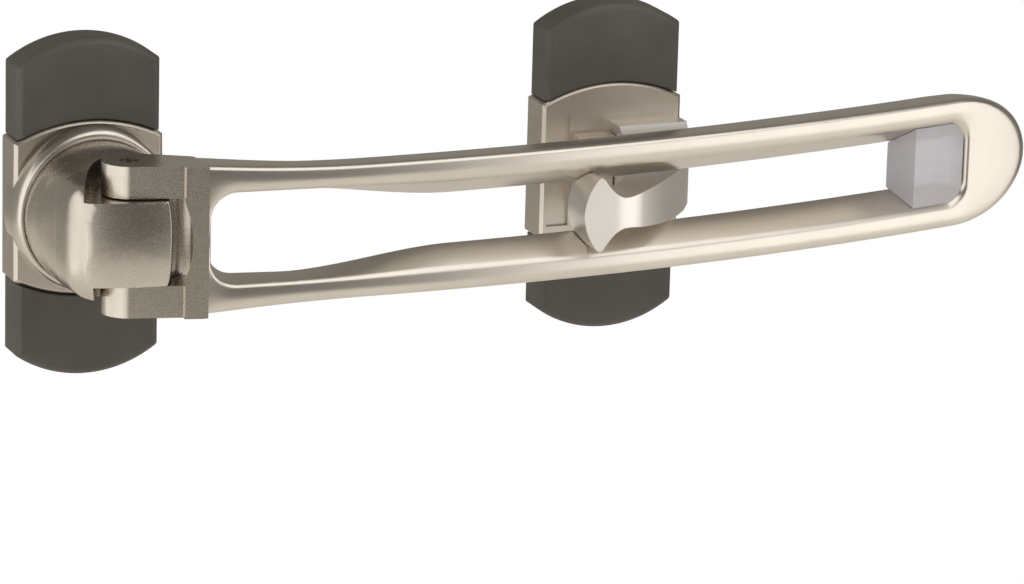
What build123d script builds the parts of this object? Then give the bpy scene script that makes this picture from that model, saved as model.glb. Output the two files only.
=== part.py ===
"""Door restrictor: a hinged, slotted arm on a wall plate, and a keeper whose hook rides in the arm's slot.

X runs along the wall from the arm's plate to its tip, Y runs into the wall and Z is up. The origin is the
centre of the arm plate's back face, which lies on the wall. Sizes are in millimetres.
"""
from build123d import *
from math import acos, asin, atan2, cos, degrees, hypot, pi, sin, sqrt
import os

os.makedirs("parts", exist_ok=True)

# Wall plates, the same for the arm and for the keeper
plate_height = 76.0
plate_depth = 9.0
cap_width = 32.8
cap_end_rise = 5.4
cap_wall = 1.8
cap_bevel = 1.1
cap_seam = 0.15
middle_width = 34.0
middle_side_height = 31.0
middle_rise = 4.2
casting_bevel = 0.7
tab_depth = 4.0
tab_clearance = 0.25
cap_rib_spacing = 18.0
cap_rib_wall = 1.4
cap_rib_height = 9.0
fixing_spacing = 53.0
fixing_hole_radius = 2.3

# Running and seating clearances
running_clearance = 0.05
seat_clearance = 0.02
swing_clearance = 0.4

# Collar and swivelling hub
collar_radius = 18.0
collar_height = 5.0
collar_bead = 3.4
collar_bead_height = 1.9
collar_bead_side = 0.3
collar_land = 0.45
hub_radius = 16.5
hub_seat_web = 2.6
hub_seat_sink = 2.8
hub_spigot_radius = 5.0
washer_radius = 7.9
washer_thickness = 1.0
spring_washer_radius = 7.5
spring_washer_thickness = 0.7
back_recess_radius = 8.2
hub_screw_radius = 2.5
hub_screw_length = 12.0
hub_screw_head_radius = 4.3
hub_screw_head_height = 1.6
hub_screw_socket = 3.0
hub_screw_socket_depth = 1.2
screw_end_gap = 1.0
back_relief = 0.3

# Tongue of the hub and the hinge
pin_x = 0.8
pin_depth = 33.3
pin_radius = 2.0
pin_recess = 1.2
ear_radius = 6.0
ear_half_height = 16.8
tongue_half_height = 9.35
ear_gap = 0.35
pocket_radius = 10.3
hub_block_half_height = 12.2
hub_waist_depth = 22.0
hub_waist_half = 15.3
hub_spread = 0.24
hub_block_left = -13.4
hub_cheek = (-12.5, -36.9)
hub_front_right = (7.6, -41.3)
hub_flank_right = (11.6, -33.3)
hub_flank_back = (16.3, -20.0)
tongue_front_left = (-10.4, -39.3)
tongue_front_right = (5.4, -42.5)
tongue_bulge = 0.9
swing_limit = 100.0

# Arm
arm_reach = 224.0
tip_round = 5.0
tip_flat = 0.3
bow_radius = 541.0
bow_x = 72.0
bow_depth = 45.4
arm_half_height = 15.0
arm_thin = 5.9
arm_middle = 7.0
arm_thick = 7.8
thin_x = 25.0
middle_x = 115.0
shoulder_end = 52.0
arm_bevel = 1.2
rib_left = 10.4
rib_width = 4.9
rib_proud = 1.9
rib_slope = 0.6
window_radius = 13.4
window_bulge = 1.7
root_back_x = 14.0
root_back_depth = 29.5
root_end = 35.0
root_inset = 2.0

# Slot of the arm
slot_start = 16.4
slot_end = 205.0
slot_front = 10.3
slot_back_wide = 9.3
slot_back_narrow = 5.8
slot_wide_end = 33.0
slot_narrow_start = 73.0
slot_start_round = 5.0
slot_end_round = 4.0
corner_steps = 4
release_inset = 1.0
slot_lip = 0.3
slot_overrun = 3.0

# Damper at the end of the slot
damper_length = 14.2
damper_slant = 3.0
damper_recess = 1.2
damper_clearance = 0.1

# Keeper
keeper_x = 124.5
hook_front_depth = 47.5
hook_left = 101.5
hook_tip_x = 105.6
hook_tip_half = 9.0
hook_crescent = (102.5, 4.5)
hook_tip_round = 1.0
hook_neck_x = 111.0
hook_neck_half = 3.1
hook_notch = (108.0, 5.6)
hook_cheek = (122.6, 4.7)
hook_bend_start = 109.0
hook_bend_end = (116.5, -45.5)
hook_mouth_back = (119.7, -29.5)
hook_head_inner = 110.5
hook_head_back_depth = 38.0
hook_head_bevel_depth = 43.6
hook_head_half = 9.8
hook_root_left = 124.2
hook_root_right = 141.0
hook_root_half = 10.6
hook_stem_half = 5.3
hook_foot_height = 4.5
hook_flare_depth = 29.0
hook_tenon_length = 11.0
hook_tenon_half = 6.5
hook_tenon_depth = 5.0
hook_screw_radius = 2.5
hook_screw_head_radius = 4.6
hook_screw_length = 10.0
hook_screw_socket = 2.2
boss_left = 115.0
boss_half = 8.4
boss_height = 2.6
boss_taper = 6
relief_inset = 1.3
relief_width = 5.4
relief_half = 12.9
relief_depth = 0.8

# Places worked out from the sizes above
front = Plane.XZ
pin = (pin_x, -pin_depth)
pin_axis = Axis((pin_x, -pin_depth, 0), (0, 0, 1))
bow_centre = (bow_x, bow_radius - bow_depth)
ear_inner = tongue_half_height + ear_gap
seat_radius = hub_radius + running_clearance
pin_plane = Plane(origin=(pin_x, -pin_depth, 0), x_dir=(1, 0, 0), z_dir=(0, -1, 0))
bow_axis = Axis((bow_centre[0], bow_centre[1], 0), (0, 0, 1))
seat_depth = plate_depth - hub_seat_sink
recess_depth = seat_depth - hub_seat_web
hub_foot_front = -plate_depth - collar_height
tip_start = (arm_reach - tip_round - tip_round * bow_x / bow_radius) / (1 - tip_round / bow_radius)
tip_turn = asin((tip_start - bow_x) / bow_radius)


def on_bow(x, depth=0.0):
    """Point of the arm's plan at x on the front arc, moved inwards by depth along the bow's radius."""
    turn = asin((x - bow_x) / bow_radius)
    radius = bow_radius - depth
    return (bow_centre[0] + radius * sin(turn), bow_centre[1] - radius * cos(turn))


def bow_plane(x):
    """Plane across the arm at x: its first axis runs inwards from the front face, its second axis is Z."""
    turn = asin((x - bow_x) / bow_radius)
    spot = on_bow(x)
    inwards = (-sin(turn), cos(turn), 0)
    along = (cos(turn), sin(turn), 0)
    return Plane(origin=(spot[0], spot[1], 0), x_dir=inwards, z_dir=along)


def lies_on_bow(edge):
    """Whether an edge lies on the front arc of the arm all along."""
    spots = [edge.position_at(step / 4) for step in range(5)]
    distances = [hypot(spot.X - bow_centre[0], spot.Y - bow_centre[1]) for spot in spots]
    return all(abs(distance - bow_radius) < 0.05 for distance in distances)


# Where the front arc of the arm ends and the round of its tip starts
tip_edge = on_bow(tip_start)


def tangent_point(outside, side):
    """Point where a line from outside touches the ear's round end, on the side given by 1 or -1."""
    reach = (outside[0] - pin[0], outside[1] - pin[1])
    angle = atan2(reach[1], reach[0]) + side * acos(ear_radius / hypot(*reach))
    return (pin[0] + ear_radius * cos(angle), pin[1] + ear_radius * sin(angle))


def arm_depth(x):
    """Thickness of the arm at x, on the parabola through its thin, middle and thick stations."""
    thin = arm_thin * (x - middle_x) * (x - slot_end) / ((thin_x - middle_x) * (thin_x - slot_end))
    middle = arm_middle * (x - thin_x) * (x - slot_end) / ((middle_x - thin_x) * (middle_x - slot_end))
    thick = arm_thick * (x - thin_x) * (x - middle_x) / ((slot_end - thin_x) * (slot_end - middle_x))
    return thin + middle + thick


def barrel_outline(width, side_height, rise):
    """Face with straight sides and a shallow arc above and below."""
    half = width / 2
    side = side_height / 2
    with BuildSketch() as outline:
        with BuildLine():
            Line((half, -side), (half, side))
            ThreePointArc((half, side), (0, side + rise), (-half, side))
            Line((-half, side), (-half, -side))
            ThreePointArc((-half, -side), (0, -side - rise), (half, -side))
        make_face()
    return outline.sketch


def full_outline(inset):
    """Outline of the whole plate, set in on every side by inset."""
    rise = cap_end_rise * (cap_width - 2 * inset) / cap_width
    return barrel_outline(cap_width - 2 * inset, plate_height - 2 * inset - 2 * rise, rise)


def plate_casting(x):
    """Cast middle of a wall plate with its two thin tabs and their fixing holes, centred on x."""
    centre = front.shift_origin((x, 0, 0))
    with BuildPart() as casting:
        with BuildSketch(centre):
            add(barrel_outline(middle_width, middle_side_height, middle_rise))
        extrude(amount=plate_depth)
        chamfer(casting.faces().sort_by(Axis.Y)[0].edges(), casting_bevel)
        with BuildSketch(centre):
            add(full_outline(cap_wall + tab_clearance))
        extrude(amount=tab_depth)
        with Locations(centre.offset(tab_depth)):
            with GridLocations(0, fixing_spacing, 1, 2):
                Hole(fixing_hole_radius)
    return casting.part


def moulded_cap(x, up):
    """Moulded cap over one tab of the plate at x: a shell open at the back, with two ribs on the tab."""
    centre = front.shift_origin((x, 0, 0))
    with BuildPart() as shell:
        with BuildSketch(centre):
            add(full_outline(0))
            with Locations((0, -up * plate_height / 2)):
                Rectangle(2 * middle_width, plate_height, mode=Mode.SUBTRACT)
        extrude(amount=plate_depth)
        rim = shell.faces().sort_by(Axis.Y)[0].edges().sort_by(Axis.Z)
        chamfer(rim[1:] if up > 0 else rim[:-1], cap_bevel)
        with BuildSketch(centre):
            add(barrel_outline(middle_width + 2 * cap_seam, middle_side_height + 2 * cap_seam, middle_rise))
        extrude(amount=plate_depth, mode=Mode.SUBTRACT)
        with BuildSketch(centre):
            add(full_outline(cap_wall))
        extrude(amount=plate_depth - cap_wall, mode=Mode.SUBTRACT)
        with BuildSketch(centre.offset(tab_depth)):
            with Locations((0, up * fixing_spacing / 2)):
                with GridLocations(cap_rib_spacing, 0, 2, 1):
                    Rectangle(cap_rib_wall, cap_rib_height)
        extrude(amount=plate_depth - cap_wall - tab_depth)
    return shell.part


# Cast plate of the arm, with the collar that carries the hub
with BuildPart() as base_plate:
    add(plate_casting(0))
    with BuildSketch(Plane.XY):
        collar_top = -plate_depth - collar_height
        with BuildLine():
            Line((0, -tab_depth), (collar_radius, -tab_depth))
            Line((collar_radius, -tab_depth), (collar_radius, collar_top + collar_bead))
            bead_side = (collar_radius, collar_top + collar_bead)
            bead_shoulder = (collar_radius - collar_bead_side, collar_top + collar_bead - collar_bead_height)
            bead_crest = (seat_radius + collar_land, collar_top)
            Polyline(bead_side, bead_shoulder, bead_crest, (seat_radius, collar_top),
                     (seat_radius, -seat_depth), (0, -seat_depth), (0, -tab_depth))
        make_face()
    revolve(axis=Axis.Y)
    with BuildSketch(front.offset(seat_depth)):
        Circle(seat_radius)
    extrude(amount=plate_depth, mode=Mode.SUBTRACT)
    with BuildSketch(front):
        Circle(hub_spigot_radius + running_clearance)
    extrude(amount=plate_depth, mode=Mode.SUBTRACT)
    with BuildSketch(front):
        Circle(back_recess_radius)
    extrude(amount=recess_depth, mode=Mode.SUBTRACT)
base_plate.part.label = "base_plate"
export_step(base_plate.part, "parts/base_plate.step")

# Four moulded caps, one over each fixing screw
for unit, plate_x in (("base", 0.0), ("keeper", keeper_x)):
    for place, up in (("upper", 1), ("lower", -1)):
        with BuildPart() as cap:
            add(moulded_cap(plate_x, up))
        cap.part.label = unit + "_" + place + "_cap"
        export_step(cap.part, "parts/" + unit + "_" + place + "_cap.step")


def arm_root_outline():
    """Plan of the ears and the rib, from the round end at the pin to the start of the loop."""
    rib_right = rib_left + rib_width
    ear_front = on_bow(rib_left)
    rib_front_left = (rib_left, ear_front[1] - rib_proud + rib_slope)
    rib_front_right = (rib_right, on_bow(rib_right)[1] - rib_proud)
    back = (root_back_x, -root_back_depth)
    foot = on_bow(root_end, arm_depth(root_end))
    low = tangent_point(ear_front, -1)
    high = tangent_point(back, 1)
    with BuildSketch() as outline:
        with BuildLine():
            Polyline(low, ear_front, rib_front_left, rib_front_right, on_bow(rib_right, root_inset),
                     on_bow(root_end, root_inset), foot, back, high)
            ThreePointArc(high, (pin[0] - ear_radius, pin[1]), low)
        make_face()
    return outline.sketch


# Swivelling hub: a round foot drawn forwards into a block whose tongue stands between the arm's ears
with BuildSketch() as open_ear:
    add(arm_root_outline())
    offset(amount=swing_clearance)
swung_ear = open_ear.sketch.rotate(pin_axis, -swing_limit)
with BuildPart() as swivel_hub:
    with BuildSketch(Plane.XY):
        tongue_middle = ((tongue_front_left[0] + tongue_front_right[0]) / 2,
                         (tongue_front_left[1] + tongue_front_right[1]) / 2 - tongue_bulge)
        with BuildLine():
            left_side = (hub_block_left, -pin_depth)
            Polyline((hub_radius, hub_foot_front), (-hub_radius, hub_foot_front), left_side)
            ThreePointArc(left_side, hub_cheek, tongue_front_left)
            ThreePointArc(tongue_front_left, tongue_middle, tongue_front_right)
            Polyline(tongue_front_right, hub_front_right, hub_flank_right, hub_flank_back,
                     (hub_radius, hub_foot_front))
        make_face()
    extrude(amount=hub_radius, both=True)
    with BuildSketch(Plane.YZ):
        with BuildLine():
            Polyline((hub_foot_front, 0), (hub_foot_front, hub_radius), (-hub_waist_depth, hub_waist_half),
                     (-pin_depth, hub_block_half_height), (-bow_depth, hub_block_half_height),
                     (-bow_depth, 0), close=True)
        make_face()
        mirror(about=Plane.XZ)
    extrude(amount=collar_radius, both=True, mode=Mode.INTERSECT)
    with BuildSketch(Plane.XY):
        spread_radius = hub_radius + hub_spread * (bow_depth + hub_foot_front)
        with BuildLine():
            Polyline((0, hub_foot_front), (hub_radius, hub_foot_front), (spread_radius, -bow_depth),
                     (0, -bow_depth), close=True)
        make_face()
    revolve(axis=Axis.Y, mode=Mode.INTERSECT)
    with BuildSketch(front.offset(seat_depth + running_clearance)):
        Circle(hub_radius)
    extrude(amount=plate_depth + collar_height - seat_depth - running_clearance)
    with BuildSketch(front.offset(recess_depth - spring_washer_thickness)):
        Circle(hub_spigot_radius)
    extrude(amount=seat_depth)
    for side in (1, -1):
        floor = Plane.XY.offset(side * tongue_half_height)
        with BuildSketch(floor):
            with Locations(pin):
                Circle(pocket_radius)
                Rectangle(2 * pocket_radius, 2 * pocket_radius, align=(Align.MIN, Align.MAX))
            add(open_ear.sketch)
            add(swung_ear)
        extrude(amount=side * collar_radius, mode=Mode.SUBTRACT)
    with BuildSketch(front.offset(recess_depth - spring_washer_thickness)):
        Circle(hub_screw_radius)
    extrude(amount=hub_screw_length, mode=Mode.SUBTRACT)
    with BuildSketch(Plane.XY):
        with Locations(pin):
            Circle(pin_radius + running_clearance)
    extrude(amount=collar_radius, both=True, mode=Mode.SUBTRACT)
swivel_hub.part.label = "swivel_hub"
export_step(swivel_hub.part, "parts/swivel_hub.step")


def slot_half(depth):
    """Half-width of the tapered slot at a depth behind the arm's front face."""
    return slot_front - (slot_front - slot_back_narrow) * depth / arm_middle


def slot_corners(x, side, far, corner, shrink):
    """End of the slot beyond x, towards the tip for side 1 and the hinge for -1, with rounded corners."""
    near = -slot_overrun
    inwards = bow_plane(x).x_dir
    along = bow_plane(x).z_dir * side
    start = Vector(*on_bow(x, near), 0)
    half = slot_half(near) - shrink
    turns = [pi / 2 * step / corner_steps for step in range(corner_steps + 1)]
    rounded = [(corner * sin(turn), half - corner + corner * cos(turn)) for turn in turns]
    slant = inwards * (far - near) + Vector(0, 0, slot_half(far) - slot_half(near))
    with BuildPart() as corners:
        with BuildSketch(Plane(origin=start, x_dir=along, z_dir=inwards * -side)):
            with BuildLine():
                Polyline((0, 0), *rounded, (corner, 0), close=True)
            make_face()
        extrude(amount=slant.length, dir=slant)
        mirror(about=Plane.XY)
    return corners.part


def slot_body(first_x, last_x, far, first_round=0.0, last_round=0.0, shrink=0.0):
    """Tapered body along the bow from first_x to last_x, wide in front and as deep as far behind it."""
    near = -slot_overrun
    start = first_x + first_round
    end = last_x - last_round
    sweep = degrees(asin((end - bow_x) / bow_radius) - asin((start - bow_x) / bow_radius))
    with BuildPart() as body:
        with BuildSketch(bow_plane(start)):
            with BuildLine():
                Polyline((near, slot_half(near) - shrink), (far, slot_half(far) - shrink),
                         (far, shrink - slot_half(far)), (near, shrink - slot_half(near)), close=True)
            make_face()
        revolve(axis=bow_axis, revolution_arc=sweep)
        for x, side, corner in ((start, -1, first_round), (end, 1, last_round)):
            if corner > 0:
                add(slot_corners(x, side, far, corner, shrink))
    return body.part


def arm_elevation():
    """Face of the arm seen from the front, with shoulders from the ears to the rails and a round tip."""
    ear_end = rib_left + rib_width - 1
    tip_x = arm_reach + tip_flat
    shoulder = (ear_end, ear_half_height)
    side = (shoulder_end, arm_half_height)
    end = (tip_x - arm_half_height, arm_half_height)
    tip_middle = (tip_x - arm_half_height * (1 - sqrt(0.5)), arm_half_height * sqrt(0.5))
    with BuildSketch() as elevation:
        with BuildLine():
            Polyline((-collar_radius, 0), (-collar_radius, ear_half_height), shoulder)
            TangentArc(side, shoulder, tangent=(-1, 0))
            Line(side, end)
            ThreePointArc(end, tip_middle, (tip_x, 0))
            Line((tip_x, 0), (-collar_radius, 0))
        make_face()
        mirror(about=Plane.XZ)
    return elevation.sketch


# Cutter for the slot: tapered all along, and wide behind near the hinge, where the hook's head comes out
with BuildPart() as slot_cutter:
    add(slot_body(slot_start, slot_narrow_start, arm_thin + slot_lip, first_round=slot_start_round))
    add(slot_body(slot_wide_end, slot_end, arm_thick + slot_lip, last_round=slot_end_round))
    with BuildSketch(front):
        with BuildLine():
            release_start = slot_start + release_inset
            release_round = slot_start_round
            corner_mid = release_round * (1 - sqrt(0.5))
            release_top = (release_start + release_round, slot_back_wide)
            release_side = (release_start, slot_back_wide - release_round)
            narrow_point = (slot_narrow_start, slot_back_narrow - slot_lip)
            half_way = ((slot_narrow_start + slot_wide_end) / 2, (narrow_point[1] + slot_back_wide) / 2)
            Line((slot_narrow_start, 0), narrow_point)
            TangentArc(narrow_point, half_way, tangent=(-1, 0))
            TangentArc((slot_wide_end, slot_back_wide), half_way, tangent=(1, 0))
            Line((slot_wide_end, slot_back_wide), release_top)
            release_corner = (release_start + corner_mid, slot_back_wide - corner_mid)
            ThreePointArc(release_top, release_corner, release_side)
            Line(release_side, (release_start, 0))
            Line((release_start, 0), (slot_narrow_start, 0))
        make_face()
        mirror(about=Plane.XZ)
    extrude(amount=2 * bow_depth)

# Band of the arm: bowed, with bevelled edges in front and a tip rounded in plan
with BuildPart() as arm_loop:
    band_start = rib_left + rib_width
    band_end = arm_reach + arm_thick
    with BuildSketch(Plane.XY):
        with BuildLine():
            near_start = on_bow(band_start)
            near_end = on_bow(band_end)
            far_start = on_bow(band_start, arm_depth(band_start))
            far_end = on_bow(band_end, arm_depth(band_end))
            Line(far_start, near_start)
            ThreePointArc(near_start, on_bow(slot_end / 2), near_end)
            Line(near_end, far_end)
            ThreePointArc(far_end, on_bow(slot_end / 2, arm_depth(slot_end / 2)), far_start)
        make_face()
    extrude(amount=ear_half_height, both=True)
    with BuildSketch(front):
        add(arm_elevation())
    extrude(amount=2 * bow_depth, mode=Mode.INTERSECT)
    rim = [(edge, edge.position_at(0.5)) for edge in arm_loop.edges() if lies_on_bow(edge)]
    chamfer([edge for edge, spot in rim if spot.X > band_start + arm_bevel], arm_bevel)
    with BuildSketch(Plane.XY):
        with BuildLine():
            round_end = (arm_reach, tip_edge[1] + tip_round * cos(tip_turn))
            past_tip = 3 * tip_round
            outside = (tip_edge[0] + past_tip * cos(tip_turn), tip_edge[1] + past_tip * sin(tip_turn))
            TangentArc(tip_edge, round_end, tangent=(cos(tip_turn), sin(tip_turn)))
            Polyline(round_end, (arm_reach, 0), (outside[0], 0), outside, tip_edge)
        make_face()
    extrude(amount=ear_half_height, both=True, mode=Mode.SUBTRACT)

# Root of the arm: two ears and a raised rib, which run out into the rails
with BuildPart() as arm_root:
    with BuildSketch(Plane.XY):
        add(arm_root_outline())
    extrude(amount=ear_half_height, both=True)
    with BuildSketch(front):
        add(arm_elevation())
    extrude(amount=2 * bow_depth, mode=Mode.INTERSECT)

# Arm: the band and the root in one casting, with the slot, the window and the pin's bore
with BuildPart() as arm:
    add(arm_loop.part)
    add(arm_root.part)
    add(slot_cutter.part, mode=Mode.SUBTRACT)
    with BuildSketch(pin_plane):
        with BuildLine():
            low = (window_radius, -ear_inner)
            high = (window_radius, ear_inner)
            Polyline(low, (0, -ear_inner), (0, ear_inner), high)
            ThreePointArc(high, (window_radius + window_bulge, 0), low)
        make_face()
    revolve(axis=pin_axis, mode=Mode.SUBTRACT)
    with BuildSketch(Plane.XY):
        with Locations(pin):
            Circle(pin_radius + seat_clearance)
    extrude(amount=ear_half_height, both=True, mode=Mode.SUBTRACT)
arm.part.label = "arm"
export_step(arm.part, "parts/arm.step")

# Clear buffer that fills the far end of the slot, where the hook comes to rest
with BuildPart() as end_damper:
    damper_start = slot_end - damper_length
    add(slot_body(damper_start - 2 * damper_slant, slot_end - damper_clearance, arm_thick + slot_lip,
                  last_round=slot_end_round, shrink=damper_clearance))
    with BuildSketch(Plane.XY):
        with BuildLine():
            inner = on_bow(damper_start, damper_recess)
            outer = on_bow(arm_reach, damper_recess)
            outer_back = on_bow(arm_reach, arm_depth(arm_reach))
            inner_back = on_bow(damper_start - damper_slant, arm_depth(damper_start))
            ThreePointArc(inner, on_bow((damper_start + arm_reach) / 2, damper_recess), outer)
            Line(outer, outer_back)
            Line(outer_back, inner_back)
            Line(inner_back, inner)
        make_face()
    extrude(amount=ear_half_height, both=True, mode=Mode.INTERSECT)
end_damper.part.label = "end_damper"
export_step(end_damper.part, "parts/end_damper.step")

# Hinge pin, a little below the faces of the ears
with BuildPart() as hinge_pin:
    with BuildSketch(Plane.XY):
        with Locations(pin):
            Circle(pin_radius)
    extrude(amount=ear_half_height - pin_recess, both=True)
hinge_pin.part.label = "hinge_pin"
export_step(hinge_pin.part, "parts/hinge_pin.step")

# What holds the hub from behind: a spring washer, a retaining washer and a screw
spring_plane = front.offset(recess_depth - spring_washer_thickness)
with BuildPart() as hub_spring_washer:
    with BuildSketch(spring_plane):
        Circle(spring_washer_radius)
        Circle(hub_spigot_radius + running_clearance, mode=Mode.SUBTRACT)
    extrude(amount=spring_washer_thickness)
hub_spring_washer.part.label = "hub_spring_washer"
export_step(hub_spring_washer.part, "parts/hub_spring_washer.step")

with BuildPart() as hub_retaining_washer:
    with BuildSketch(spring_plane.offset(-washer_thickness)):
        Circle(washer_radius)
        Circle(hub_screw_radius + running_clearance, mode=Mode.SUBTRACT)
    extrude(amount=washer_thickness)
hub_retaining_washer.part.label = "hub_retaining_washer"
export_step(hub_retaining_washer.part, "parts/hub_retaining_washer.step")

with BuildPart() as hub_screw:
    head_top = spring_plane.offset(-washer_thickness - hub_screw_head_height)
    with BuildSketch(head_top):
        Circle(hub_screw_head_radius)
    extrude(amount=hub_screw_head_height)
    with BuildSketch(head_top):
        Circle(hub_screw_radius - seat_clearance)
    extrude(amount=hub_screw_head_height + washer_thickness + hub_screw_length - screw_end_gap)
    with BuildSketch(head_top):
        RegularPolygon(hub_screw_socket / 2, 6, major_radius=False)
    extrude(amount=hub_screw_socket_depth, mode=Mode.SUBTRACT)
hub_screw.part.label = "hub_screw"
export_step(hub_screw.part, "parts/hub_screw.step")

# Cast plate of the keeper, with a low boss under the hook's mouth and a shallow relief at its open side
keeper_front = front.offset(plate_depth)
hook_root_centre = (hook_root_left + hook_root_right) / 2
with BuildPart() as keeper_plate:
    add(plate_casting(keeper_x))
    with BuildSketch(keeper_front):
        with Locations(((boss_left + hook_root_left) / 2, 0)):
            Rectangle(hook_root_left - boss_left, 2 * boss_half)
    extrude(amount=boss_height, taper=boss_taper)
    with BuildSketch(keeper_front):
        with Locations((keeper_x - middle_width / 2 + relief_inset, 0)):
            Rectangle(relief_width, 2 * relief_half, align=(Align.MIN, Align.CENTER))
    extrude(amount=-relief_depth, mode=Mode.SUBTRACT)
    with BuildSketch(keeper_front):
        with Locations((hook_root_centre, 0)):
            Rectangle(hook_tenon_length + 2 * seat_clearance, 2 * (hook_tenon_half + seat_clearance))
    extrude(amount=-hook_tenon_depth, mode=Mode.SUBTRACT)
    with Locations(front.shift_origin((hook_root_centre, 0, 0))):
        Hole(hook_screw_radius + seat_clearance)
        Cone(hook_screw_head_radius + back_relief, hook_screw_radius, hook_screw_head_radius,
             align=(Align.CENTER, Align.CENTER, Align.MIN), mode=Mode.SUBTRACT)
keeper_plate.part.label = "keeper_plate"
export_step(keeper_plate.part, "parts/keeper_plate.step")


def hook_plan():
    """Plan of the hook: a flat head, a stem that bends back to the plate and a mouth behind the head."""
    head_back = (hook_left, -hook_head_back_depth)
    head_front = (hook_left, -hook_front_depth)
    bend_start = (hook_bend_start, -hook_front_depth)
    heel = (hook_root_right, -plate_depth - hook_foot_height)
    throat = (hook_root_left, -plate_depth - hook_foot_height)
    head_inner = (hook_head_inner, -hook_head_back_depth)
    with BuildSketch() as plan:
        with BuildLine():
            Polyline(head_back, head_front, bend_start)
            bend = TangentArc(bend_start, hook_bend_end, tangent=(1, 0))
            TangentArc(hook_bend_end, heel, tangent=bend % 1)
            Polyline(heel, (hook_root_right, -plate_depth), (hook_root_left, -plate_depth), throat)
            ThreePointArc(throat, hook_mouth_back, head_inner)
            Line(head_inner, head_back)
        make_face()
    return plan.sketch


# Root of the hook, which flares to its foot on the plate and ends in a tenon
with BuildPart() as hook_root:
    with BuildSketch(Plane.XY):
        add(hook_plan())
    extrude(amount=hook_root_half, both=True)
    with BuildSketch(Plane.YZ):
        with BuildLine():
            foot_y = -plate_depth - hook_foot_height
            Line((-plate_depth, 0), (-plate_depth, hook_root_half))
            Line((-plate_depth, hook_root_half), (foot_y, hook_root_half))
            TangentArc((-hook_flare_depth, hook_stem_half), (foot_y, hook_root_half), tangent=(1, 0))
            Line((-hook_flare_depth, hook_stem_half), (-hook_flare_depth, 0))
            Line((-hook_flare_depth, 0), (-plate_depth, 0))
        make_face()
        mirror(about=Plane.XZ)
    extrude(amount=2 * keeper_x, mode=Mode.INTERSECT)
    with BuildSketch(keeper_front):
        with Locations((hook_root_centre, 0)):
            Rectangle(hook_tenon_length, 2 * hook_tenon_half)
    extrude(amount=-hook_tenon_depth)

# Hook of the keeper: a wide crescent head, bevelled to ride in the tapered slot, on a narrow neck
with BuildPart() as keeper_hook:
    with BuildSketch(Plane.XY):
        add(hook_plan())
    extrude(amount=hook_root_half, both=True)
    with BuildSketch(front) as head_outline:
        with BuildLine():
            tip = (hook_tip_x, hook_tip_half)
            neck_side = (hook_neck_x, hook_neck_half)
            stem_end = (hook_root_right + 1, hook_stem_half)
            Line((stem_end[0], 0), (hook_left, 0))
            ThreePointArc((hook_left, 0), hook_crescent, tip)
            ThreePointArc(tip, hook_notch, neck_side)
            ThreePointArc(neck_side, hook_cheek, stem_end)
            Line(stem_end, (stem_end[0], 0))
        make_face()
        mirror(about=Plane.XZ)
        corners = head_outline.vertices()
        tips = [corner for corner in corners if abs(corner.X - hook_tip_x) < hook_tip_round / 2]
        fillet(tips, hook_tip_round)
    extrude(amount=2 * bow_depth, mode=Mode.INTERSECT)
    with BuildSketch(Plane.YZ):
        with BuildLine():
            Polyline((-hook_front_depth, 0), (-hook_front_depth, hook_head_half),
                     (-hook_head_bevel_depth, hook_head_half), (-hook_head_back_depth, hook_stem_half),
                     (-plate_depth, hook_stem_half), (-plate_depth, 0), close=True)
        make_face()
        mirror(about=Plane.XZ)
    extrude(amount=2 * keeper_x, mode=Mode.INTERSECT)
    add(hook_root.part)
    with Locations(front.shift_origin((hook_root_centre, 0, 0)).offset(plate_depth - hook_tenon_depth)):
        Cylinder(hook_screw_radius, hook_screw_length, align=(Align.CENTER, Align.CENTER, Align.MIN),
                 mode=Mode.SUBTRACT)
keeper_hook.part.label = "keeper_hook"
export_step(keeper_hook.part, "parts/keeper_hook.step")

# Countersunk screw that holds the hook from behind the plate
with BuildPart() as hook_screw:
    screw_plane = front.shift_origin((hook_root_centre, 0, 0)).offset(back_relief)
    hook_screw_shank = plate_depth - hook_tenon_depth + hook_screw_length - screw_end_gap - back_relief
    with Locations(screw_plane):
        Cone(hook_screw_head_radius, hook_screw_radius - seat_clearance,
             hook_screw_head_radius - hook_screw_radius, align=(Align.CENTER, Align.CENTER, Align.MIN))
        Cylinder(hook_screw_radius - seat_clearance, hook_screw_shank,
                 align=(Align.CENTER, Align.CENTER, Align.MIN))
    with BuildSketch(screw_plane):
        RegularPolygon(hook_screw_socket / 2, 6, major_radius=False)
    extrude(amount=hook_screw_head_radius - hook_screw_radius, mode=Mode.SUBTRACT)
hook_screw.part.label = "hook_screw"
export_step(hook_screw.part, "parts/hook_screw.step")
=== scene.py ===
"""Looks of the door restrictor: an arm unit on a wall plate and a keeper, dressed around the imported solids.

Metres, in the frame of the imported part: X along the wall, Y into the wall, Z up. Sizes are written in
millimetres and turned into metres where a mesh is made.
"""

import logging
import math
from dataclasses import dataclass
from enum import Enum
from typing import Callable, Sequence

import bmesh
import bpy
import numpy as np
from mathutils import Matrix, Vector


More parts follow.
